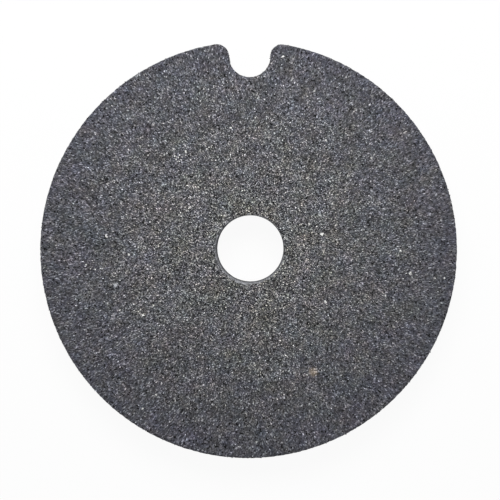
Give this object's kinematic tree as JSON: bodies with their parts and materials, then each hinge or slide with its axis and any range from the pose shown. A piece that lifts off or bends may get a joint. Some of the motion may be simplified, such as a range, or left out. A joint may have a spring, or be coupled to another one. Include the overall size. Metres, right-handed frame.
{
  "type": "grinding stone",
  "caption": "Flat round disc of coarse dark grey abrasive, with a spindle bore through its middle and a round locating notch with rounded lips in its rim.",
  "frame": {"origin": "centre of the bore, at half the thickness", "axes": "+Z along the spindle axis, out of the upper face; +Y from the axis to the middle of the rim notch; +X completes a right-handed frame"},
  "size_m": [0.2, 0.1987, 0.02],
  "materials": {
    "bonded_silicon_carbide": "matte"
  },
  "bodies": {
    "root": {"grinding_stone": "bonded_silicon_carbide"}
  },
  "joints": []
}
